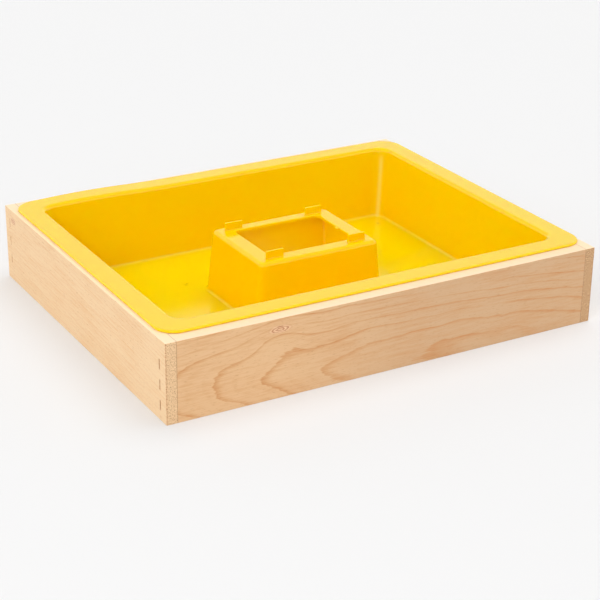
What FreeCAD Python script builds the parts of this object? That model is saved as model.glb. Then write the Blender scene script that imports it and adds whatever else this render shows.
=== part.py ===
import FreeCAD, Part
import math
import os

import Sketcher

# Hive-top syrup feeder for a ten-frame bee hive: a bottomless pine rim of four
# stapled boards, and a moulded plastic tray that hangs in it by its flat lip.
# Millimetres. Origin at the centre of the rim's underside, +X along the long
# side, +Y towards the rear board, +Z up.

document = FreeCAD.newDocument("HiveTopFeeder")
sheet = document.addObject("Spreadsheet::Sheet", "Sizes")

DRIVING_DIMENSIONS = [
    # pine rim
    ("rim_length", 505.0),
    ("rim_width", 413.0),
    ("rim_height", 85.7),
    ("board_thickness", 19.0),
    ("tongue_thickness", 11.5),
    ("arris_radius", 0.8),
    # staples through the end boards' tongues
    ("staple_wire", 1.2),
    ("staple_crown", 10.0),
    ("staple_leg", 31.0),
    ("staple_sink", 0.5),
    ("staple_inset", 13.0),
    ("staple_pitch", 21.5),
    ("front_staple_height", 16.5),
    ("rear_staple_height", 26.0),
    # tray lip
    ("tray_length", 498.5),
    ("tray_width", 390.0),
    ("tray_shift_x", 1.75),
    ("tray_shift_y", 2.0),
    ("lip_thickness", 3.0),
    ("lip_corner", 22.0),
    ("lip_roll", 4.5),
    ("lip_edge_radius", 1.2),
    # tray basin, inner faces
    ("skin", 2.8),
    ("floor_height", 5.0),
    ("basin_top_length", 448.5),
    ("basin_top_width", 340.0),
    ("basin_floor_length", 430.5),
    ("basin_floor_width", 322.0),
    ("basin_corner", 15.0),
    ("floor_fillet", 3.0),
    # chimney tower, outer faces
    ("tower_shift_x", 1.0),
    ("tower_shift_y", -2.0),
    ("tower_height", 74.5),
    ("tower_top_length", 145.4),
    ("tower_top_width", 115.0),
    ("tower_base_length", 158.0),
    ("tower_base_width", 124.6),
    ("tower_corner", 7.0),
    ("tower_roll", 5.0),
    ("tower_foot_fillet", 4.0),
    ("tower_plate", 3.4),
    ("opening_shift_x", 2.0),
    ("opening_shift_y", -0.5),
    ("opening_length", 106.6),
    ("opening_width", 81.4),
    ("opening_corner", 6.0),
    ("opening_edge_radius", 1.0),
    # upright tabs on the tower
    ("tab_length", 21.0),
    ("tab_height", 8.8),
    ("tab_thickness", 2.2),
    ("tab_spacing_x", 101.0),
    ("tab_spacing_y", 93.0),
    ("tab_edge_radius", 0.5),
]

for row, (alias, value) in enumerate(DRIVING_DIMENSIONS, start=1):
    sheet.set(f"A{row}", alias)
    sheet.set(f"B{row}", str(value))
    sheet.setAlias(f"B{row}", alias)
document.recompute()

STAPLES_PER_CORNER = 3
NEAR = 0.05          # how close a point must lie to a plane to count as on it


def size(alias):
    return float(sheet.get(alias))


def sheet_value(formula):
    """The number that a formula over the sheet gives now."""
    words = {alias: size(alias) for alias, _ in DRIVING_DIMENSIONS}
    text = formula.replace("$", "")
    for alias in sorted(words, key=len, reverse=True):
        text = text.replace(alias, repr(words[alias]))
    return float(FreeCAD.Units.Quantity(text))


def bind(thing, **formulas):
    """Bind properties to formulas over the sheet's aliases, written as $alias."""
    for name, formula in formulas.items():
        thing.setExpression(name.replace("__", "."), formula.replace("$", "Sizes."))


def new_body(label):
    body = document.addObject("PartDesign::Body", label)
    body.Label = label
    return body


def sketch_on_base(body, name, height):
    """A sketch parallel to the body's XY plane, at a height given by a formula."""
    plane = next(f for f in body.Origin.OriginFeatures if f.Role == "XY_Plane")
    sketch = body.newObject("Sketcher::SketchObject", name)
    sketch.AttachmentSupport = [(plane, "")]
    sketch.MapMode = "FlatFace"
    bind(sketch, AttachmentOffset__Base__z=height)
    return sketch


def outline(sketch, points):
    """Close straight edges through points, each given as a pair of formulas."""
    corners = [FreeCAD.Vector(sheet_value(x), sheet_value(y), 0) for x, y in points]
    count = len(corners)
    for i in range(count):
        sketch.addGeometry(Part.LineSegment(corners[i], corners[(i + 1) % count]))
    for i in range(count):
        sketch.addConstraint(Sketcher.Constraint("Coincident", i, 2, (i + 1) % count, 1))
    for i, (x, y) in enumerate(points):
        for kind, formula in (("DistanceX", x), ("DistanceY", y)):
            value = sheet_value(formula)
            index = sketch.addConstraint(Sketcher.Constraint(kind, -1, 1, i, 1, value))
            bind(sketch, **{f"Constraints[{index}]": formula})


def rounded_rectangle(sketch, length, width, radius, centre=("0", "0")):
    """A rectangle with round corners about a centre given as a pair of formulas."""
    half_x = sheet_value(length) / 2
    half_y = sheet_value(width) / 2
    r = sheet_value(radius)
    middle = FreeCAD.Vector(sheet_value(centre[0]), sheet_value(centre[1]), 0)
    inner = [(half_x - r, half_y - r), (r - half_x, half_y - r),
             (r - half_x, r - half_y), (half_x - r, r - half_y)]
    for quarter, (x, y) in enumerate(inner):
        place = middle + FreeCAD.Vector(x, y, 0)
        circle = Part.Circle(place, FreeCAD.Vector(0, 0, 1), r)
        start = quarter * math.pi / 2
        sketch.addGeometry(Part.ArcOfCircle(circle, start, start + math.pi / 2))
    ends = [((half_x - r, half_y), (r - half_x, half_y)),
            ((-half_x, half_y - r), (-half_x, r - half_y)),
            ((r - half_x, -half_y), (half_x - r, -half_y)),
            ((half_x, r - half_y), (half_x, half_y - r))]
    for (x1, y1), (x2, y2) in ends:
        start = middle + FreeCAD.Vector(x1, y1, 0)
        end = middle + FreeCAD.Vector(x2, y2, 0)
        sketch.addGeometry(Part.LineSegment(start, end))
    for quarter in range(4):
        side = 4 + quarter
        sketch.addConstraint(Sketcher.Constraint("Tangent", quarter, 2, side, 1))
        sketch.addConstraint(Sketcher.Constraint("Tangent", side, 2, (quarter + 1) % 4, 1))
        kind = "Horizontal" if quarter % 2 == 0 else "Vertical"
        sketch.addConstraint(Sketcher.Constraint(kind, side))
    for quarter in range(1, 4):
        sketch.addConstraint(Sketcher.Constraint("Equal", 0, quarter))
    named = [("Radius", (0, r), radius),
             ("DistanceX", (5, 1, 7, 1, 2 * half_x), length),
             ("DistanceY", (6, 1, 4, 1, 2 * half_y), width),
             ("DistanceX", (5, 1, -1, 1, half_x - middle.x), f"({length}) / 2 - ({centre[0]})"),
             ("DistanceY", (6, 1, -1, 1, half_y - middle.y), f"({width}) / 2 - ({centre[1]})")]
    for kind, arguments, formula in named:
        index = sketch.addConstraint(Sketcher.Constraint(kind, *arguments))
        bind(sketch, **{f"Constraints[{index}]": formula})


def pad(body, sketch, name, length):
    feature = body.newObject("PartDesign::Pad", name)
    feature.Profile = sketch
    bind(feature, Length=length)
    sketch.Visibility = False
    document.recompute()
    return feature


def pocket_down(body, sketch, name, depth):
    """Cut straight down from the sketch; the solid must lose volume."""
    before = body.Shape.Volume
    feature = body.newObject("PartDesign::Pocket", name)
    feature.Profile = sketch
    bind(feature, Length=depth)
    document.recompute()
    if not body.Shape.Volume < before - 1.0:
        raise RuntimeError(f"{name} cuts nothing")
    return feature


def frustum(body, kind, name, low, high, low_size, high_size, centre=("0", "0")):
    """A tapered block: low and high are levels, and each size is (length, width)."""
    feature = body.newObject(f"PartDesign::{kind}Wedge", name)
    upright = FreeCAD.Rotation(FreeCAD.Vector(1, 0, 0), 90)
    feature.Placement = FreeCAD.Placement(FreeCAD.Vector(0, 0, 0), upright)
    bind(feature, Placement__Base__x=centre[0], Placement__Base__y=centre[1],
         Ymin=low, Ymax=high,
         Xmin=f"-({low_size[0]}) / 2", Xmax=f"({low_size[0]}) / 2",
         Zmin=f"-({low_size[1]}) / 2", Zmax=f"({low_size[1]}) / 2",
         X2min=f"-({high_size[0]}) / 2", X2max=f"({high_size[0]}) / 2",
         Z2min=f"-({high_size[1]}) / 2", Z2max=f"({high_size[1]}) / 2")
    document.recompute()
    return feature


def edges_where(feature, wanted):
    """Names of the feature's edges whose bounding box passes the test."""
    names = []
    for index, edge in enumerate(feature.Shape.Edges, start=1):
        if wanted(edge.BoundBox):
            names.append(f"Edge{index}")
    if not names:
        raise RuntimeError(f"no edge of {feature.Name} fits")
    return names


def fillet(body, name, radius, wanted):
    """Round the edges of the body's newest feature that pass the test."""
    base = body.Tip
    names = edges_where(base, wanted)
    feature = body.newObject("PartDesign::Fillet", name)
    feature.Base = (base, names)
    bind(feature, Radius=radius)
    document.recompute()
    return feature


def level(box, height):
    """True for an edge that lies in the horizontal plane at this height."""
    return abs(box.ZMin - height) < NEAR and abs(box.ZMax - height) < NEAR


def spans(box, low, high):
    """True for an edge that rises from one height to the other."""
    return abs(box.ZMin - low) < NEAR and abs(box.ZMax - high) < NEAR


def reach(box):
    """How far an edge's box reaches from the vertical axis, along X and along Y."""
    return max(abs(box.XMin), abs(box.XMax)), max(abs(box.YMin), abs(box.YMax))


def rim_board(label, points, rounded):
    """An upright pine board with the given plan; rounded picks its soft arrises."""
    body = new_body(label + "_stock")
    sketch = sketch_on_base(body, label + "_plan", "0")
    outline(sketch, points)
    pad(body, sketch, label + "_pad", "$rim_height")
    fillet(body, label + "_arrises", "$arris_radius", rounded)
    return body


def staple_group(label, end, side, lowest):
    """Three crown staples, driven along X through a tongue into a side board.

    end is -1 or 1 for the left or right end board, side likewise for the front
    or rear. Returns the staples and the same staples with their sunk holes.
    """
    outer = f"{end} * $rim_length / 2"
    centre_y = f"{side} * ($rim_width / 2 - $staple_inset)"
    crown_x = f"{outer} - {end} * ($staple_sink + $staple_wire / 2) - $staple_wire / 2"
    leg_x = f"{outer} - {end} * ($staple_sink + $staple_leg / 2) - $staple_leg / 2"
    hole_x = f"{outer} - {end} * $staple_sink / 2 - $staple_sink / 2"
    solids = []
    holes = []
    for row in range(STAPLES_PER_CORNER):
        middle = f"{lowest} + {row} * $staple_pitch"
        foot = f"{middle} - $staple_crown / 2"
        boxes = [box_at(f"{label}_crown_{row}", crown_x, centre_y, foot,
                        "$staple_wire", "$staple_crown")]
        for leg, rise in (("lower", "0"), ("upper", "$staple_crown - $staple_wire")):
            boxes.append(box_at(f"{label}_{leg}_leg_{row}", leg_x, centre_y,
                                f"{foot} + {rise}", "$staple_leg", "$staple_wire"))
        staple = document.addObject("Part::MultiFuse", f"{label}_staple_{row}")
        staple.Shapes = boxes
        staple.Refine = True
        solids.append(staple)
        holes.append(box_at(f"{label}_hole_{row}", hole_x, centre_y, foot,
                            "$staple_sink", "$staple_crown"))
    group = document.addObject("Part::Compound", label)
    group.Label = label
    group.Links = solids
    slots = document.addObject("Part::Compound", label + "_slots")
    slots.Links = solids + holes
    document.recompute()
    return group, slots


def box_at(name, low_x, centre_y, low_z, length, height):
    """One straight stretch of staple wire, or the hole above a crown."""
    box = document.addObject("Part::Box", name)
    bind(box, Length=length, Width="$staple_wire", Height=height,
         Placement__Base__x=low_x,
         Placement__Base__y=f"{centre_y} - $staple_wire / 2",
         Placement__Base__z=low_z)
    return box


def slotted(label, board, slots):
    """The board with the staples' slots cut in it."""
    tool = document.addObject("Part::Compound", label + "_all_slots")
    tool.Links = slots
    cut = document.addObject("Part::Cut", label)
    cut.Label = label
    cut.Base = board
    cut.Tool = tool
    document.recompute()
    if not cut.Shape.Volume < board.Shape.Volume - 1.0:
        raise RuntimeError(f"{label} lost no wood to its staples")
    return cut


def end_board(label, end):
    """A short board: full rim width, rebated at both ends for the side boards."""
    outer = f"{end} * $rim_length / 2"
    step = f"{end} * ($rim_length / 2 - $tongue_thickness)"
    inner = f"{end} * ($rim_length / 2 - $board_thickness)"
    edge = "$rim_width / 2"
    shoulder = "($rim_width / 2 - $board_thickness)"
    points = [(outer, f"-{edge}"), (outer, edge), (step, edge), (step, shoulder),
              (inner, shoulder), (inner, f"-{shoulder}"), (step, f"-{shoulder}"),
              (step, f"-{edge}")]
    half_length = size("rim_length") / 2
    half_width = size("rim_width") / 2

    def rounded(box):
        far_x, far_y = reach(box)
        on_face = min(abs(box.XMin), abs(box.XMax)) > half_length - NEAR
        on_end = far_y > half_width - NEAR and box.YLength < NEAR
        on_inside = far_x < half_length - size("board_thickness") + NEAR
        upright = spans(box, 0, size("rim_height"))
        flat = level(box, 0) or level(box, size("rim_height"))
        return (on_face and upright) or (flat and (on_face or on_end or on_inside))

    return rim_board(label, points, rounded)


def side_board(label, side):
    """A long board, butted between the end boards' tongues."""
    end = "($rim_length / 2 - $tongue_thickness)"
    outer = f"{side} * $rim_width / 2"
    inner = f"{side} * ($rim_width / 2 - $board_thickness)"
    points = [(f"-{end}", outer), (end, outer), (end, inner), (f"-{end}", inner)]

    def rounded(box):
        along = box.XLength > size("rim_length") / 2
        return along and (level(box, 0) or level(box, size("rim_height")))

    return rim_board(label, points, rounded)


def feeder_tray():
    """The moulded tray: lip, drafted basin, chimney tower and its four tabs."""
    body = new_body("feeder_tray")
    bind(body, Placement__Base__x="$tray_shift_x", Placement__Base__y="$tray_shift_y")
    underside = "$floor_height - $skin"
    lip_top = "$rim_height + $lip_thickness"
    outer_top = ("$basin_top_length + 2 * $skin", "$basin_top_width + 2 * $skin")
    outer_floor = ("$basin_floor_length + 2 * $skin", "$basin_floor_width + 2 * $skin")

    frustum(body, "Additive", "basin_outside", underside, "$rim_height",
            outer_floor, outer_top)
    lip_plan = sketch_on_base(body, "lip_plan", "$rim_height")
    rounded_rectangle(lip_plan, "$tray_length", "$tray_width", "$lip_corner")
    pad(body, lip_plan, "lip", "$lip_thickness")
    basin_top = ("$basin_top_length", "$basin_top_width")
    basin_floor = ("$basin_floor_length", "$basin_floor_width")
    frustum(body, "Subtractive", "basin_inside", "$floor_height", lip_top,
            basin_floor, basin_top)

    low = sheet_value(underside)
    floor = size("floor_height")
    lip_foot = size("rim_height")
    high = sheet_value(lip_top)
    outer_x = size("tray_length") / 2 - size("lip_corner")
    outer_y = size("tray_width") / 2 - size("lip_corner")

    def lip_outline(box):
        far_x, far_y = reach(box)
        outside = far_x > outer_x - NEAR and far_y > outer_y - NEAR
        return outside and (level(box, lip_foot) or level(box, high))

    fillet(body, "inside_corners", "$basin_corner", lambda b: spans(b, floor, high))
    fillet(body, "outside_corners", "$basin_corner + $skin", lambda b: spans(b, low, lip_foot))
    fillet(body, "inside_floor_edge", "$floor_fillet", lambda b: level(b, floor))
    fillet(body, "outside_floor_edge", "$floor_fillet + $skin", lambda b: level(b, low))
    fillet(body, "lip_edges", "$lip_edge_radius", lip_outline)
    well = size("basin_top_length") / 2

    def mouth(box):
        return level(box, high) and reach(box)[0] < well + NEAR

    fillet(body, "lip_roll", "$lip_roll", mouth)

    tower_centre = ("$tower_shift_x", "$tower_shift_y")
    tower_top = ("$tower_top_length", "$tower_top_width")
    tower_base = ("$tower_base_length", "$tower_base_width")
    frustum(body, "Additive", "tower_outside", "$floor_height", "$tower_height",
            tower_base, tower_top, tower_centre)
    top = size("tower_height")
    fillet(body, "tower_corners", "$tower_corner", lambda b: spans(b, floor, top))
    fillet(body, "tower_top_roll", "$tower_roll", lambda b: level(b, top))
    clear = size("basin_floor_width") / 2 - 2 * size("floor_fillet")
    fillet(body, "tower_foot", "$tower_foot_fillet",
           lambda b: level(b, floor) and reach(b)[1] < clear and reach(b)[0] < clear)

    hollow_top = ("$tower_top_length - 2 * $skin", "$tower_top_width - 2 * $skin")
    hollow_base = ("$tower_base_length - 2 * $skin", "$tower_base_width - 2 * $skin")
    ceiling = "$tower_height - $tower_plate"
    frustum(body, "Subtractive", "tower_inside", underside, ceiling,
            hollow_base, hollow_top, tower_centre)
    roof = sheet_value(ceiling)
    fillet(body, "tower_inside_corners", "$tower_corner - $skin",
           lambda b: spans(b, low, roof))

    opening = sketch_on_base(body, "opening_plan", "$tower_height")
    rounded_rectangle(opening, "$opening_length", "$opening_width", "$opening_corner",
                      ("$opening_shift_x", "$opening_shift_y"))
    pocket_down(body, opening, "opening", "2 * $tower_plate")
    rim_x = size("opening_length") / 2 + size("opening_shift_x")
    fillet(body, "opening_edge", "$opening_edge_radius",
           lambda b: level(b, top) and reach(b)[0] < rim_x + NEAR)

    tab_root = "$tower_height - $tower_plate / 2"
    for row, side in (("front", -1), ("rear", 1)):
        for column, end in (("left", -1), ("right", 1)):
            name = f"{row}_{column}_tab"
            plan = sketch_on_base(body, name + "_plan", tab_root)
            centre_x = f"{end} * $tab_spacing_x / 2 + $tower_shift_x"
            centre_y = f"{side} * $tab_spacing_y / 2 + $tower_shift_y"
            across = [(f"{centre_x} - $tab_length / 2", f"{centre_y} - $tab_thickness / 2"),
                      (f"{centre_x} + $tab_length / 2", f"{centre_y} - $tab_thickness / 2"),
                      (f"{centre_x} + $tab_length / 2", f"{centre_y} + $tab_thickness / 2"),
                      (f"{centre_x} - $tab_length / 2", f"{centre_y} + $tab_thickness / 2")]
            outline(plan, across)
            pad(body, plan, name, "$tab_height + $tower_plate / 2")
    tab_top = top + size("tab_height")
    fillet(body, "tab_edges", "$tab_edge_radius",
           lambda b: level(b, tab_top) or spans(b, top, tab_top))
    return body


tray = feeder_tray()
groups = {}
slots = {}
for row, side in (("front", -1), ("rear", 1)):
    for column, end in (("left", -1), ("right", 1)):
        lowest = f"${row}_staple_height"
        corner = (row, column)
        groups[corner], slots[corner] = staple_group(f"{row}_{column}_staples", end, side, lowest)

sub_parts = [tray] + list(groups.values())
for column, end in (("left", -1), ("right", 1)):
    stock = end_board(f"{column}_end_board", end)
    cutters = [slots[("front", column)], slots[("rear", column)]]
    sub_parts.append(slotted(f"{column}_end_board", stock, cutters))
for row, side in (("front", -1), ("rear", 1)):
    stock = side_board(f"{row}_board", side)
    cutters = [slots[(row, "left")], slots[(row, "right")]]
    sub_parts.append(slotted(f"{row}_board", stock, cutters))

document.recompute()
for item in document.Objects:
    if "Invalid" in item.State or "Error" in item.State:
        raise RuntimeError(f"{item.Label} failed to build: {item.State}")
for item in sub_parts:
    if item.Shape.isNull() or not item.Shape.isValid():
        raise RuntimeError(f"{item.Label} has no valid shape")

os.makedirs("parts", exist_ok=True)
for item in sub_parts:
    item.Shape.exportStep(f"parts/{item.Label}.step")
    box = item.Shape.BoundBox
    print(item.Label, len(item.Shape.Solids), "solid(s)", round(item.Shape.Volume),
          "mm3", [round(v, 2) for v in (box.XMin, box.YMin, box.ZMin,
                                        box.XMax, box.YMax, box.ZMax)])
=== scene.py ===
import math
import bpy
import bmesh
from mathutils import Matrix, Vector


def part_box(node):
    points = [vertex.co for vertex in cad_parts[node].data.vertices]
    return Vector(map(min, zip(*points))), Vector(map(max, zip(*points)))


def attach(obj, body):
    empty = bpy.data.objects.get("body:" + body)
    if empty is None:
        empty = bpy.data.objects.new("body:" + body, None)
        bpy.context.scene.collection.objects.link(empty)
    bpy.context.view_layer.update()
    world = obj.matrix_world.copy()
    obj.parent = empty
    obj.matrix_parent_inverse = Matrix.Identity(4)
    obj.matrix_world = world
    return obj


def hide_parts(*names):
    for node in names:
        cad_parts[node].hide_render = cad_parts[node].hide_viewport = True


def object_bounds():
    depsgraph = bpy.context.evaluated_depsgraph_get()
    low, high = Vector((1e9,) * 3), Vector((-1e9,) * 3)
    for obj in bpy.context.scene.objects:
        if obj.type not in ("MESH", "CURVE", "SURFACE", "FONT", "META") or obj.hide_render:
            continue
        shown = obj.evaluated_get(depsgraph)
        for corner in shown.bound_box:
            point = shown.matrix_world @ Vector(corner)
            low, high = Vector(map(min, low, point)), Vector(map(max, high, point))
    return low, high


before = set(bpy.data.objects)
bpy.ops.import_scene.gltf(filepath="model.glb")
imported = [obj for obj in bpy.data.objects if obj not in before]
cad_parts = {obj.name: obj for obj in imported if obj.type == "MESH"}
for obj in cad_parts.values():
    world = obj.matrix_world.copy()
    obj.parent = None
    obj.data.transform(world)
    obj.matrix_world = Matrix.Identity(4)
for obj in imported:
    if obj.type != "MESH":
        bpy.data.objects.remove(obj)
cad_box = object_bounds()

MM = 0.001

# ---------------------------------------------------------------- the tray's form, in mm

tray_low, tray_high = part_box("feeder_tray")
TRAY_CENTRE = (tray_low + tray_high) / 2 / MM
LIP_TOP = tray_high.z / MM
LIP_HALF = ((tray_high.x - tray_low.x) / 2 / MM, (tray_high.y - tray_low.y) / 2 / MM)
LIP_THICKNESS = 3.0
LIP_CORNER = 22.0
LIP_ROLL = 4.5
LIP_EDGE = 1.3
SKIN = 2.8
FLOOR = tray_low.z / MM + SKIN
BASIN_TOP_HALF = (224.25, 170.0)
BASIN_FLOOR_HALF = (215.25, 161.0)
BASIN_CORNER = 15.0
FLOOR_FILLET = 3.0
TOWER_SHIFT = (1.0, -2.0)
TOWER_TOP = 74.5
TOWER_TOP_HALF = (72.7, 57.5)
TOWER_BASE_HALF = (79.0, 62.3)
TOWER_CORNER = 7.0
TOWER_ROLL = 5.0
TOWER_FOOT = 4.0
TOWER_PLATE = 3.4
OPENING_SHIFT = (2.0, -0.5)
OPENING_HALF = (53.3, 40.7)
OPENING_CORNER = 6.0
OPENING_EDGE = 1.0
TAB_HALF = (10.5, 1.1)
TAB_HEIGHT = 8.8
TAB_SPREAD = (50.5, 46.5)
TAB_EDGE = 0.5
TAB_FOOT = 1.3
PIP_BITE = 1.8
PIP_CENTRE = (TRAY_CENTRE.x + OPENING_SHIFT[0] + OPENING_HALF[0] - PIP_BITE, -2.5, TOWER_TOP - 0.7)
PIP_HALF = (2.6, 2.8, 1.4)

# how far from a bend the flat stretch beside it begins: at the basin, the tower's foot and
# the underside
FLAT_BAND = 9.0
TOWER_BAND = 8.0
UNDER_BAND = 12.0

# where the moulding has warped up off the rear board, near its left end
WARP_HEIGHT = 2.2
WARP_CENTRE = -160.0
WARP_REACH = 95.0

# ---------------------------------------------------------------- the rim's details, in mm

TONGUE = 11.5
CROWN_HALF = 5.0
STAPLE_PITCH = 21.5


def smooth(low, high, value):
    """0 below low, 1 above high, and an even curve between."""
    t = min(1.0, max(0.0, (value - low) / (high - low)))
    return t * t * (3 - 2 * t)


def mix(a, b, t):
    """The point that is the share t of the way from a to b."""
    return tuple(p + (q - p) * t for p, q in zip(a, b))


def outline_at(half_x, half_y, corner, height, centre_x, centre_y, corner_steps=9,
               long_steps=26, short_steps=20):
    """Points round a rounded rectangle, as many whatever its size, anticlockwise."""
    corner = max(0.05, min(corner, half_x, half_y))
    reach_x = half_x - corner
    reach_y = half_y - corner
    centres = [(reach_x, reach_y), (-reach_x, reach_y), (-reach_x, -reach_y), (reach_x, -reach_y)]
    points = []
    for quarter, (x, y) in enumerate(centres):
        for step in range(corner_steps + 1):
            angle = (quarter + step / corner_steps) * math.pi / 2
            points.append((x + corner * math.cos(angle), y + corner * math.sin(angle)))
        next_x, next_y = centres[(quarter + 1) % 4]
        angle = (quarter + 1) * math.pi / 2
        end = points[-1]
        goal = (next_x + corner * math.cos(angle), next_y + corner * math.sin(angle))
        steps = long_steps if quarter % 2 == 0 else short_steps
        for step in range(1, steps):
            points.append(mix(end, goal, step / steps))
    return [(x + centre_x, y + centre_y, height) for x, y in points]


def rounded_profile(stations, arc_steps=6):
    """The closed run of outlines that skins the stations, with its bends rounded.

    A station is (half_x, half_y, corner, height, centre_x, centre_y, rounding, pieces):
    the last two are its bend's radius and how many spans lead from it to the next.
    """
    count = len(stations)
    shapes = [station[:6] for station in stations]

    def run(a, b):
        return math.hypot(b[0] - a[0], b[3] - a[3])

    arcs = []
    for i in range(count):
        here, before, after = shapes[i], shapes[i - 1], shapes[(i + 1) % count]
        radius = stations[i][6]
        if radius == 0:
            arcs.append([here])
            continue
        back, ahead = run(here, before), run(here, after)
        cosine = ((before[0] - here[0]) * (after[0] - here[0])
                  + (before[3] - here[3]) * (after[3] - here[3])) / (back * ahead)
        turn = math.pi - math.acos(max(-1.0, min(1.0, cosine)))
        cut = radius * math.tan(turn / 2)
        start, end = mix(here, before, cut / back), mix(here, after, cut / ahead)
        weight = math.cos(turn / 2)
        bend = []
        for step in range(arc_steps + 1):
            t = step / arc_steps
            shares = ((1 - t) ** 2, 2 * t * (1 - t) * weight, t ** 2)
            total = sum(shares)
            bend.append(tuple(sum(share * value for share, value in zip(shares, values)) / total
                              for values in zip(start, here, end)))
        arcs.append(bend)
    profile = []
    for i in range(count):
        profile += arcs[i]
        start, end = arcs[i][-1], arcs[(i + 1) % count][0]
        pieces = stations[i][7]
        profile += [mix(start, end, step / pieces) for step in range(1, pieces)]
    return profile


def warp(x, y, z):
    """How far the moulding has lifted at a point, in mm."""
    along = max(0.0, 1 - ((x - WARP_CENTRE) / WARP_REACH) ** 2) ** 2
    across = smooth(LIP_HALF[1] - 75, LIP_HALF[1] - 5, y - TRAY_CENTRE.y)
    return WARP_HEIGHT * along * across * smooth(FLOOR + 30, LIP_TOP, z)


def add_mesh(name, points, faces, material):
    """A smooth-shaded mesh object from points in mm."""
    mesh = bpy.data.meshes.new(name)
    mesh.from_pydata([Vector(p) * MM for p in points], [], faces)
    mesh.validate()
    mesh.update()
    piece = bpy.data.objects.new(name, mesh)
    bpy.context.scene.collection.objects.link(piece)
    piece.data.materials.append(material)
    for face in mesh.polygons:
        face.use_smooth = True
    return piece


def skin_rings(rings, closed):
    """Quads between neighbouring rings; closed also joins the last to the first."""
    size = len(rings[0])
    points = [point for ring in rings for point in ring]
    faces = []
    for i in range(len(rings) if closed else len(rings) - 1):
        a, b = i * size, (i + 1) % len(rings) * size
        for j in range(size):
            k = (j + 1) % size
            faces.append((a + j, a + k, b + k, b + j))
    return points, faces


def tray_skin():
    """The whole skin of the tray: over the lip, down the basin, up the tower, down
    through its opening, and back under everything to the lip's edge."""
    lip_x, lip_y = LIP_HALF
    top_x, top_y = BASIN_TOP_HALF
    low_x, low_y = BASIN_FLOOR_HALF
    peak_x, peak_y = TOWER_TOP_HALF
    foot_x, foot_y = TOWER_BASE_HALF
    mouth_x, mouth_y = OPENING_HALF
    lip_foot = LIP_TOP - LIP_THICKNESS
    ceiling = TOWER_TOP - TOWER_PLATE
    under = FLOOR - SKIN
    inner_corner = TOWER_CORNER - SKIN
    outer_corner = BASIN_CORNER + SKIN
    stations = [
        (lip_x, lip_y, LIP_CORNER, LIP_TOP, 0, 0, LIP_EDGE, 2),
        (top_x + FLAT_BAND, top_y + FLAT_BAND, BASIN_CORNER + FLAT_BAND, LIP_TOP, 0, 0, 0, 2),
        (top_x, top_y, BASIN_CORNER, LIP_TOP, 0, 0, LIP_ROLL, 10),
        (low_x, low_y, BASIN_CORNER, FLOOR, 0, 0, FLOOR_FILLET, 1),
        (low_x - FLAT_BAND, low_y - FLAT_BAND, BASIN_CORNER - FLAT_BAND, FLOOR, 0, 0, 0, 9),
        (foot_x + TOWER_BAND, foot_y + TOWER_BAND, TOWER_CORNER + TOWER_BAND, FLOOR,
         *TOWER_SHIFT, 0, 1),
        (foot_x, foot_y, TOWER_CORNER + 2, FLOOR, *TOWER_SHIFT, TOWER_FOOT, 5),
        (peak_x, peak_y, TOWER_CORNER, TOWER_TOP, *TOWER_SHIFT, TOWER_ROLL, 1),
        (peak_x - TOWER_ROLL - 1, peak_y - TOWER_ROLL - 1, 2, TOWER_TOP, *TOWER_SHIFT, 0, 2),
        (mouth_x + 2, mouth_y + 2, OPENING_CORNER + 2, TOWER_TOP, *OPENING_SHIFT, 0, 1),
        (mouth_x, mouth_y, OPENING_CORNER, TOWER_TOP, *OPENING_SHIFT, OPENING_EDGE, 1),
        (mouth_x, mouth_y, OPENING_CORNER, ceiling, *OPENING_SHIFT, 0.5, 1),
        (peak_x - SKIN, peak_y - SKIN, inner_corner, ceiling, *TOWER_SHIFT, 1.0, 5),
        (foot_x - SKIN, foot_y - SKIN, inner_corner, under, *TOWER_SHIFT, 1.0, 2),
        (foot_x + UNDER_BAND, foot_y + UNDER_BAND, inner_corner + UNDER_BAND + 2, under,
         *TOWER_SHIFT, 0, 8),
        (low_x + SKIN - UNDER_BAND, low_y + SKIN - UNDER_BAND, outer_corner - UNDER_BAND, under,
         0, 0, 0, 1),
        (low_x + SKIN, low_y + SKIN, outer_corner, under, 0, 0, FLOOR_FILLET + SKIN, 8),
        (top_x + SKIN, top_y + SKIN, outer_corner, lip_foot, 0, 0, 1.5, 2),
        (lip_x, lip_y, LIP_CORNER, lip_foot, 0, 0, LIP_EDGE, 1),
    ]
    rings = []
    for shape in rounded_profile(stations):
        ring = []
        for x, y, z in outline_at(*shape):
            x += TRAY_CENTRE.x
            y += TRAY_CENTRE.y
            ring.append((x, y, z + warp(x, y, z)))
        rings.append(ring)
    return skin_rings(rings, closed=True)


def capped_skin(rings):
    """The rings' skin, closed by a flat face at each end."""
    points, faces = skin_rings(rings, closed=False)
    size = len(rings[0])
    faces.append(tuple(reversed(range(size))))
    faces.append(tuple(range(len(points) - size, len(points))))
    return points, faces


def tab_skin(centre_x, centre_y):
    """One upright tab: a flared root in the tower's top, and a rounded crest."""
    half_x, half_y = TAB_HALF
    sunk = 0.05
    foot_steps, crest_steps = 5, 4
    levels = [(TAB_FOOT, TOWER_TOP - TOWER_PLATE / 2)]
    for step in range(foot_steps + 1):
        angle = step / foot_steps * math.pi / 2
        flare = TAB_FOOT * (1 - math.sin(angle))
        rise = TAB_FOOT * (1 - math.cos(angle))
        levels.append((flare, TOWER_TOP - sunk + rise))
    for step in range(crest_steps + 1):
        angle = step / crest_steps * math.pi / 2
        levels.append((TAB_EDGE * (math.cos(angle) - 1),
                       TOWER_TOP + TAB_HEIGHT + TAB_EDGE * (math.sin(angle) - 1)))
    return capped_skin([outline_at(half_x + grow, half_y + grow, TAB_EDGE + max(0, grow), z,
                                   centre_x, centre_y, corner_steps=3, long_steps=6,
                                   short_steps=2) for grow, z in levels])


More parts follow.
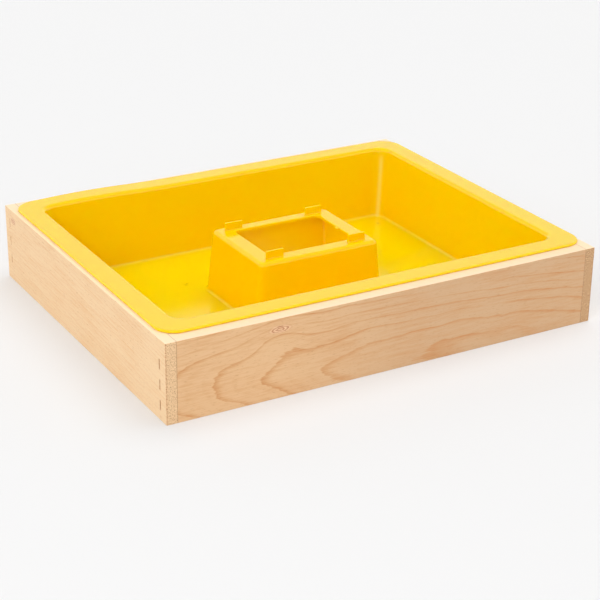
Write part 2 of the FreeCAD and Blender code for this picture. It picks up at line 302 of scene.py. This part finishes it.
def pip_skin():
    """A crumb of flash that the trimming cutter left on the opening's right edge."""
    half_x, half_y, half_z = PIP_HALF
    bands, sides, cut_off = 6, 12, 0.08
    rings = []
    for band in range(bands + 1):
        angle = (cut_off + (1 - 2 * cut_off) * band / bands) * math.pi
        girth = math.sin(angle)
        rings.append([(PIP_CENTRE[0] + half_x * girth * math.cos(side / sides * math.tau),
                       PIP_CENTRE[1] + half_y * girth * math.sin(side / sides * math.tau),
                       PIP_CENTRE[2] - half_z * math.cos(angle)) for side in range(sides)])
    return capped_skin(rings)


# ---------------------------------------------------------------- nodes as arithmetic

class Wire:
    """A number in a material's node tree, which takes part in plain arithmetic."""

    def __init__(self, tree, socket):
        self.tree = tree
        self.socket = socket

    def math(self, operation, *others):
        node = self.tree.nodes.new("ShaderNodeMath")
        node.operation = operation
        for slot, value in enumerate((self,) + others):
            put(self.tree, node.inputs[slot], value)
        return Wire(self.tree, node.outputs[0])

    def __add__(self, other):
        return self.math("ADD", other)

    def __sub__(self, other):
        return self.math("SUBTRACT", other)

    def __rsub__(self, other):
        return (self * -1) + other

    def __mul__(self, other):
        return self.math("MULTIPLY", other)

    def __truediv__(self, other):
        return self.math("DIVIDE", other)

    __radd__ = __add__
    __rmul__ = __mul__


def put(tree, socket, value):
    """Link a wire or a socket to an input, or set the input to a plain value."""
    if isinstance(value, Wire):
        value = value.socket
    if isinstance(value, bpy.types.NodeSocket):
        tree.links.new(value, socket)
    else:
        socket.default_value = value


def position(tree):
    """The three coordinates of the shaded point in the part's frame, in mm."""
    place = tree.nodes.new("ShaderNodeTexCoord")
    split = tree.nodes.new("ShaderNodeSeparateXYZ")
    tree.links.new(place.outputs["Object"], split.inputs[0])
    return [Wire(tree, split.outputs[i]) / MM for i in range(3)]


def facing(tree):
    """The three parts of the surface's direction in the part's frame."""
    place = tree.nodes.new("ShaderNodeTexCoord")
    split = tree.nodes.new("ShaderNodeSeparateXYZ")
    tree.links.new(place.outputs["Normal"], split.inputs[0])
    return [Wire(tree, split.outputs[i]) for i in range(3)]


def noise(tree, x, y, z, detail=2.0, rough=0.5):
    """Smooth noise from 0 to 1 at a point whose unit is the noise's own grain."""
    place = tree.nodes.new("ShaderNodeCombineXYZ")
    for slot, value in enumerate((x, y, z)):
        put(tree, place.inputs[slot], value)
    node = tree.nodes.new("ShaderNodeTexNoise")
    node.inputs["Scale"].default_value = 1.0
    node.inputs["Detail"].default_value = detail
    node.inputs["Roughness"].default_value = rough
    tree.links.new(place.outputs[0], node.inputs["Vector"])
    return Wire(tree, node.outputs["Fac"])


def step_up(value, low, high):
    """0 below low and 1 above high, with a smooth rise between."""
    node = value.tree.nodes.new("ShaderNodeMapRange")
    node.interpolation_type = "SMOOTHSTEP"
    put(value.tree, node.inputs["Value"], value)
    node.inputs["From Min"].default_value = low
    node.inputs["From Max"].default_value = high
    return Wire(value.tree, node.outputs["Result"])


def bell(value, width):
    """1 where value is 0, falling off on both sides over about the width."""
    scaled = value / width
    return (scaled * scaled * -1).math("EXPONENT")


def blend_colour(tree, share, low, high):
    """A colour between two, each a colour or a socket; share is a wire or number."""
    node = tree.nodes.new("ShaderNodeMix")
    node.data_type = "RGBA"
    node.clamp_factor = True
    put(tree, node.inputs["Factor"], share)
    put(tree, node.inputs["A"], low)
    put(tree, node.inputs["B"], high)
    return node.outputs["Result"]


def new_material(name):
    """A new material, with its node tree and its shader."""
    material = bpy.data.materials.new(name)
    material.use_nodes = True
    return material, material.node_tree, material.node_tree.nodes["Principled BSDF"]


def relief(tree, shader, height, depth):
    """Bump from a height wire; depth is how deep its full range is, in mm."""
    bump = tree.nodes.new("ShaderNodeBump")
    bump.inputs["Strength"].default_value = 1.0
    bump.inputs["Distance"].default_value = depth * MM
    put(tree, bump.inputs["Height"], height)
    tree.links.new(bump.outputs[0], shader.inputs["Normal"])


def srgb(red, green, blue):
    """A colour given as 0 to 255 display values, as linear light."""
    def linear(value):
        value /= 255
        return value / 12.92 if value <= 0.04045 else ((value + 0.055) / 1.055) ** 2.4
    return (linear(red), linear(green), linear(blue), 1.0)


# ---------------------------------------------------------------- materials

def tray_plastic():
    """Glossy yellow that light soaks through, with two faint scuffs in the basin's floor,
    a paler yellow painted on the floor as painted light, and a pale cream painted highlight
    up the basin's corners and along the foot of its walls."""
    material, tree, shader = new_material("yellow_plastic")
    x, y, z = position(tree)
    cloud = noise(tree, x / 60, y / 60, z / 60, 3.0)
    grain = noise(tree, x / 0.7, y / 0.7, z / 0.7, 2.0)
    flow = noise(tree, x / 9, y / 9, z / 9, 2.0)
    body = blend_colour(tree, cloud, srgb(255, 207, 0), srgb(255, 211, 0))
    # painted light: the basin's floor, and everything below it, is painted a paler yellow to stand
    # in for the brighter light that falls on it
    body = blend_colour(tree, step_up(FLOOR + 2.5 - z, 0, 2) * 0.55, body, srgb(255, 226, 0))

    marks = 0
    for mark_x, mark_y, spread in ((-91, 78, 3.5), (200, 137, 2.2)):
        away_x, away_y = x - mark_x, y - mark_y
        distance = (away_x * away_x + away_y * away_y).math("SQRT")
        marks = marks + bell(distance, spread) * step_up(FLOOR + 1.5 - z, 0, 1)
    scuff = step_up(noise(tree, x / 2.2, y / 1.1, z / 2, 2.0), 0.45, 0.6)
    body = blend_colour(tree, marks * scuff * 0.6, body, srgb(170, 110, 0))

    # how far outside the drafted end and side walls a point lies: 0 on the wall itself
    rise = (z - FLOOR) / (LIP_TOP - FLOOR)
    draft = BASIN_TOP_HALF[0] - BASIN_FLOOR_HALF[0]
    past_x = (x - TRAY_CENTRE.x).math("ABSOLUTE") - BASIN_FLOOR_HALF[0] - rise * draft
    past_y = (y - TRAY_CENTRE.y).math("ABSOLUTE") - BASIN_FLOOR_HALF[1] - rise * draft
    # painted highlight: a pale cream streak up each of the basin's vertical corners, and a faint
    # line along the foot of its walls
    bend = bell(past_x - past_y, 4) * step_up(past_x, -9, -5) * step_up(past_y, -9, -5)
    crease = bell(z - FLOOR - 1, 1.2) * step_up(past_x.math("MAXIMUM", past_y), -6, -3)
    painted_highlight = bend * (1 - step_up(rise, 0.8, 0.95)) * 0.6 + crease * 0.2
    body = blend_colour(tree, painted_highlight, body, srgb(255, 232, 120))

    put(tree, shader.inputs["Base Color"], body)
    put(tree, shader.inputs["Roughness"], 0.11 + cloud * 0.05 + grain * 0.02)
    shader.inputs["IOR"].default_value = 1.52
    shader.inputs["Subsurface Weight"].default_value = 1.0
    shader.inputs["Subsurface Radius"].default_value = (1.0, 0.7, 0.1)
    shader.inputs["Subsurface Scale"].default_value = 2.6 * MM
    relief(tree, shader, grain * 0.25 + flow * 0.5 + marks * 0.6, 0.05)
    return material


def staple_steel():
    """Dull wire, browned by the wood that it sinks into."""
    material, tree, shader = new_material("staple_wire")
    x, y, z = position(tree)
    stain = noise(tree, x / 1.5, y / 1.5, z / 2.5, 3.0)
    colour = blend_colour(tree, step_up(stain, 0.4, 0.65), srgb(226, 186, 140), srgb(180, 126, 82))
    put(tree, shader.inputs["Base Color"], colour)
    shader.inputs["Metallic"].default_value = 0.15
    put(tree, shader.inputs["Roughness"], 0.4 + stain * 0.3)
    relief(tree, shader, stain, 0.05)
    return material


def growth_rings(tree, run, level, inside, pith, rings, seed):
    """How dark the yearly rings are, from 0 to 1, and the fine waver of their lines.

    pith is (height, depth behind the face, lean, place where it comes closest, how
    fast it bows away), rings (width, phase, wander).
    """
    pith_level, pith_depth, lean, turning, bow = pith
    width, phase, wander = rings
    off = run - turning
    bowed = off * bow
    behind = inside + pith_depth
    rise = level - pith_level - off * lean
    radius = (rise * rise + behind * behind + bowed * bowed).math("SQRT")
    swell = noise(tree, run / 110 + seed, level / 36, inside / 36, 1.0) - 0.5
    ripple = noise(tree, run / 34 + seed, level / 14, inside / 14, 2.0) - 0.5
    fine = noise(tree, run / 30 + seed, level / 1.8, inside / 1.8, 2.0) - 0.5
    radius = radius + swell * wander + ripple * (wander * 0.4) + fine * (wander * 0.22)

    # a sharp late line, a soft rise to it, and three lesser lines to each ring
    count = radius / width + phase
    turn = count.math("FRACT")
    late = step_up(turn, 0.72, 0.95) * (1 - step_up(turn, 0.95, 1.0))
    late = late * late * 0.7 + step_up(turn, 0.1, 0.9) * (1 - step_up(turn, 0.93, 1.0)) * 0.1
    lesser = (count * 3 + 0.3).math("FRACT")
    lesser = step_up(lesser, 0.3, 0.85) * (1 - step_up(lesser, 0.88, 1.0))
    spread = noise(tree, count.math("FLOOR") * 3.7 + seed, run / 160, 0.0, 1.0)
    return late * step_up(spread, 0.2, 0.6) + lesser * 0.12, fine


def with_knot(tree, run, level, fine, knot, colour):
    """The colour, with a small ringed knot drawn over it."""
    knot_run, knot_level, half_long, half_high, _ = knot
    away_x = (run - knot_run) / half_long
    away_z = (level - knot_level) / half_high
    away = (away_x * away_x + away_z * away_z).math("SQRT") + (fine * 0.5)
    ring = (away * 2.6).math("FRACT")
    heart = blend_colour(tree, step_up(ring, 0.3, 0.9), srgb(240, 200, 160), srgb(186, 112, 72))
    return blend_colour(tree, (1 - step_up(away, 0.6, 1.25)) * 0.85, colour, heart)


def with_staple_stain_and_shade(tree, run, level, staples, colour):
    """The colour, with a brown mark round each staple's crown, partly stain and partly painted
    shade of the recess it sits in.
    """
    line, lowest, pitch, half_crown = staples
    rows = (level - lowest) / pitch
    nearest = (rows - rows.math("ROUND")).math("ABSOLUTE") * pitch
    # the brown mark is partly stain and partly painted shade of the recess round the crown
    mark = bell(run - line, 1.3) * (1 - step_up(nearest, half_crown, half_crown + 1.5))
    mark = mark * step_up(lowest + pitch * 2.5 - level, 0, 1)
    return blend_colour(tree, mark * 0.45, colour, srgb(166, 106, 62))


def end_grain(tree, speck, cells, late, inside, tone):
    """The colour of fibres cut across at a board's end, brown along its arris."""
    pits = 1 - step_up(speck, 0.3, 0.46)
    colour = blend_colour(tree, cells * 0.75 + late * 0.25, tone, srgb(150, 94, 56))
    colour = blend_colour(tree, pits * 0.6, colour, srgb(250, 222, 176))
    arris = (1 - step_up(inside, 0.3, 1.8)) * step_up(speck, 0.3, 0.55)
    return blend_colour(tree, arris * 0.6, colour, srgb(166, 94, 56))


def pine(name, face, pith, rings, strength, tones, seed, knots=(), staples=None, seam=None,
         duller=None):
    """Planed pine, sawn from a trunk whose rings run round a pith beside the board.

    face is (the grain's axis, the thickness's axis, where the outer face lies on the
    second, 1 or -1 for the way into the wood), with 0 for X and 1 for Y. growth_rings
    says what pith and rings are; strength is how much the rings show, and tones are
    the early, late, end-grain and top colours, the top one a paler cream painted on
    upward faces as painted light. A knot is (along, height, half length, half height,
    how far it lifts the grain). staples is (their place along the grain, the lowest
    crown's height, their pitch, half a crown) and browns the wood round them, partly as
    stain and partly as painted shade of their recess. seam is where the face meets
    another board's end, marked by a dark line that is partly splintered wood and partly
    painted shade of the joint, and duller is (tone, where it starts, where it is full).
    """
    along, depth, outer, inward = face
    early_tone, late_tone, end_tone, painted_top_light_tone = tones
    material, tree, shader = new_material(name)
    places = position(tree)
    direction = facing(tree)
    run = places[along]
    level = places[2]
    inside = (places[depth] - outer) * inward
    ends = step_up(direction[along].math("ABSOLUTE"), 0.5, 0.8)
    tops = step_up(direction[2], 0.5, 0.9)

    lifted = level
    for knot_run, knot_level, half_long, _, lift in knots:
        near = bell(run - knot_run, half_long * 2.5) * bell(level - knot_level + 12, 20)
        lifted = lifted - near * lift
    late, fine = growth_rings(tree, run, lifted, inside, pith, rings, seed)

    fibre = noise(tree, run / 20 + seed, level / 0.9, inside / 0.9, 3.0, 0.6)
    streak = noise(tree, run / 80 + seed, level / 3.5, inside / 3.5, 3.0)
    pore = noise(tree, run / 6 + seed, level / 0.8, inside / 0.8, 1.0)
    blotch = noise(tree, run / 75 + seed, level / 30, inside / 30, 2.0)
    share = late * strength + (streak - 0.5) * 0.8 + (fibre - 0.5) * 1.1 + (blotch - 0.5) * 0.7
    if duller is not None:
        dull_tone, start, full = duller
        early_tone = blend_colour(tree, step_up(run, start, full) * 0.6, early_tone, dull_tone)
    colour = blend_colour(tree, share + 0.05, early_tone, late_tone)
    # painted light: upward faces are painted a paler cream for the brighter light and sheen on the
    # boards' tops
    colour = blend_colour(tree, tops * 0.85, colour, painted_top_light_tone)
    if seam is not None:
        # the dark line at the joint is partly splintered wood and partly painted shade of the
        # joint between the boards
        gap = step_up(run.math("ABSOLUTE"), seam - 1.0, seam - 0.2)
        colour = blend_colour(tree, gap * 0.55, colour, srgb(150, 96, 60))
    dash = step_up(pore, 0.62, 0.76) * (1 - ends) * (1 - tops)
    colour = blend_colour(tree, dash * 0.5, colour, srgb(186, 128, 78))
    for knot in knots:
        colour = with_knot(tree, run, level, fine, knot, colour)

    speck = noise(tree, run / 1.2, level / 1.3, places[depth] / 0.9, 2.0)
    cells = step_up(speck, 0.5, 0.72)
    colour = blend_colour(tree, ends, colour,
                          end_grain(tree, speck, cells, late, inside, end_tone))
    if staples is not None:
        colour = with_staple_stain_and_shade(tree, run, level, staples, colour)

    put(tree, shader.inputs["Base Color"], colour)
    put(tree, shader.inputs["Roughness"], 0.5 + fibre * 0.16 - late * 0.08)
    shader.inputs["Specular IOR Level"].default_value = 0.35
    relief(tree, shader, fibre * 0.4 + late * 0.3 + cells * ends * 0.4, 0.16)
    return material


# ---------------------------------------------------------------- the pieces

def build_tray():
    """The moulded tray with its tabs and its crumb of flash, in place of the CAD tray."""
    plastic = tray_plastic()
    tower_x = TRAY_CENTRE.x + TOWER_SHIFT[0]
    tower_y = TRAY_CENTRE.y + TOWER_SHIFT[1]
    tray = add_mesh("moulded_tray", *tray_skin(), plastic)
    fix_normals(tray)
    for side in (-1, 1):
        for end in (-1, 1):
            join(tray, add_mesh("tab", *tab_skin(tower_x + end * TAB_SPREAD[0],
                                                 tower_y + side * TAB_SPREAD[1]), plastic))
    join(tray, add_mesh("pip", *pip_skin(), plastic))
    modifier = tray.modifiers.new("weighted_normals", "WEIGHTED_NORMAL")
    modifier.weight = 60
    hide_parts("feeder_tray")
    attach(tray, "tray")


def join(piece, addition):
    """Merge one closed mesh into another as a single skin."""
    fix_normals(addition)
    union = piece.modifiers.new("union", "BOOLEAN")
    union.operation = "UNION"
    union.solver = "EXACT"
    union.object = addition
    bpy.context.view_layer.update()
    merged = piece.evaluated_get(bpy.context.evaluated_depsgraph_get())
    piece.data = bpy.data.meshes.new_from_object(merged)
    piece.modifiers.clear()
    bpy.data.objects.remove(addition)


def fix_normals(piece):
    """Point every face outwards."""
    shape = bmesh.new()
    shape.from_mesh(piece.data)
    bmesh.ops.recalc_face_normals(shape, faces=shape.faces)
    shape.to_mesh(piece.data)
    shape.free()


def dress(node, material):
    """Give a CAD node one material in every slot."""
    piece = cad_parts[node]
    piece.data.materials.clear()
    piece.data.materials.append(material)


def build_rim():
    """Pine on the four boards and steel on the staples."""
    front_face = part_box("front_board")[0].y / MM
    left_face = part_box("left_end_board")[0].x / MM
    staple_low, staple_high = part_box("front_left_staples")
    staples = ((staple_low.y + staple_high.y) / 2 / MM, staple_low.z / MM + CROWN_HALF,
               STAPLE_PITCH, CROWN_HALF)
    seam = -left_face - TONGUE
    painted_top_light_tone = srgb(255, 230, 194)
    pale = (srgb(242, 208, 164), srgb(226, 168, 106), srgb(236, 198, 152), painted_top_light_tone)
    warm = (srgb(230, 188, 141), srgb(206, 140, 80), srgb(204, 162, 118), painted_top_light_tone)
    tanned = (*pale[:2], warm[2], painted_top_light_tone)
    dress("front_board", pine("front_pine", face=(0, 1, front_face, 1),
                              pith=(3.5, 60.5, -0.075, 115, 0.169), rings=(6.3, 0.09, 5.0),
                              strength=0.78, tones=warm, seed=3.1,
                              knots=[(-130, 74, 12, 4, 15)], seam=seam,
                              duller=(srgb(202, 166, 130), -160, 60)))
    dress("rear_board", pine("rear_pine", face=(0, 1, -front_face, -1),
                             pith=(60, 55, 0.05, -60, 0.15), rings=(5.5, 0.4, 5.0),
                             strength=0.7, tones=warm, seed=11.7, seam=seam))
    dress("left_end_board", pine("left_pine", face=(1, 0, left_face, 1),
                                 pith=(-70, 40, 0.06, 60, 0.12), rings=(4.2, 0.3, 3.0),
                                 strength=0.6, tones=pale, seed=23.9,
                                 knots=[(183, 74, 7, 4, 5)], staples=staples))
    dress("right_end_board", pine("right_pine", face=(1, 0, -left_face, -1),
                                  pith=(20, 40, 0.05, -80, 0.14), rings=(4.6, 0.1, 4.0),
                                  strength=0.4, tones=tanned, seed=37.3))
    steel = staple_steel()
    for row in ("front", "rear"):
        for column in ("left", "right"):
            dress(f"{row}_{column}_staples", steel)


# ---------------------------------------------------------------- stage, light, camera

def build_floor():
    """A plain white table that gives off a little light, except where the rim covers it."""
    material, tree, shader = new_material("floor_paper")
    shader.inputs["Base Color"].default_value = (0.58, 0.578, 0.578, 1)
    shader.inputs["Emission Color"].default_value = (1, 1, 1, 1)
    tucked_under = 2.5
    half_x, half_y = cad_box[1].x / MM - tucked_under, cad_box[1].y / MM - tucked_under
    x, y, _ = position(tree)
    past = (x.math("ABSOLUTE") - half_x).math("MAXIMUM", y.math("ABSOLUTE") - half_y)
    put(tree, shader.inputs["Emission Strength"], step_up(past, 0, 1) * 0.275)
    shader.inputs["Roughness"].default_value = 0.9
    shader.inputs["Specular IOR Level"].default_value = 0.1
    reach = 6000.0
    corners = [(-reach, -reach, 0), (reach, -reach, 0), (reach, reach, 0), (-reach, reach, 0)]
    floor = add_mesh("floor", corners, [(0, 1, 2, 3)], material)


def add_lamp(name, kind, place, aim, power, size):
    """A softbox of so many watts and metres, or a sun whose size is its width in degrees."""
    lamp = bpy.data.lights.new(name, kind)
    lamp.energy = power
    if kind == "SUN":
        lamp.angle = math.radians(size)
    else:
        lamp.shape = "RECTANGLE"
        lamp.size, lamp.size_y = size
    holder = bpy.data.objects.new(name, lamp)
    holder.location = place
    holder.rotation_euler = (Vector(aim) - Vector(place)).to_track_quat("-Z", "Y").to_euler()
    bpy.context.scene.collection.objects.link(holder)
    return holder


def build_light():
    """An even surround that dims overhead, two broad suns, a small softbox from the front
    left, and in the chimney a faint lamp for the light that soaks through its walls."""
    world = bpy.data.worlds.new("studio")
    world.use_nodes = True
    tree = world.node_tree
    sky = tree.nodes.new("ShaderNodeTexCoord")
    split = tree.nodes.new("ShaderNodeSeparateXYZ")
    tree.links.new(sky.outputs["Generated"], split.inputs[0])
    high = step_up(Wire(tree, split.outputs["Z"]), 0.45, 0.75)
    tree.nodes["Background"].inputs["Color"].default_value = (1, 1, 1, 1)
    put(tree, tree.nodes["Background"].inputs["Strength"], 0.88 - high * 0.58)
    bpy.context.scene.world = world
    centre = (0, 0, 0.05)
    suns = (add_lamp("key_left", "SUN", (-1.98, -1.26, 1.86), centre, 0.98, 40),
            add_lamp("overhead", "SUN", (0.9, 0.2, 2.8), centre, 1.36, 50))
    add_lamp("softbox", "AREA", (-1.65, -1.4, 1.5), centre, 3.5, (0.25, 0.25))
    tower = [(middle + shift) * MM for middle, shift in zip(TRAY_CENTRE, TOWER_SHIFT)]
    glow = add_lamp("chimney_bounce", "AREA", (*tower, 0.001), (*tower, 1), 0.03, (0.11, 0.08))
    glow.visible_camera = False
    for lamp in (glow, *suns):
        lamp.visible_glossy = False
    bpy.context.scene.view_settings.view_transform = "Standard"


def build_camera():
    """A long lens from the front left, a little rolled."""
    azimuth, elevation, roll = math.radians(-30.08), math.radians(23.81), math.radians(0.72)
    distance = 1.8598
    aim = Vector((0.0051, -0.0101, 0))
    back = Vector((math.sin(azimuth) * math.cos(elevation),
                   -math.cos(azimuth) * math.cos(elevation), math.sin(elevation)))
    camera = bpy.data.cameras.new("camera")
    camera.lens = 100.74
    camera.sensor_width = 36
    holder = bpy.data.objects.new("camera", camera)
    turn = (-back).to_track_quat("-Z", "Y").to_matrix() @ Matrix.Rotation(roll, 3, "Z")
    holder.matrix_world = Matrix.Translation(aim + back * distance) @ turn.to_4x4()
    bpy.context.scene.collection.objects.link(holder)
    bpy.context.scene.camera = holder


build_tray()
build_rim()
build_floor()
build_light()
build_camera()
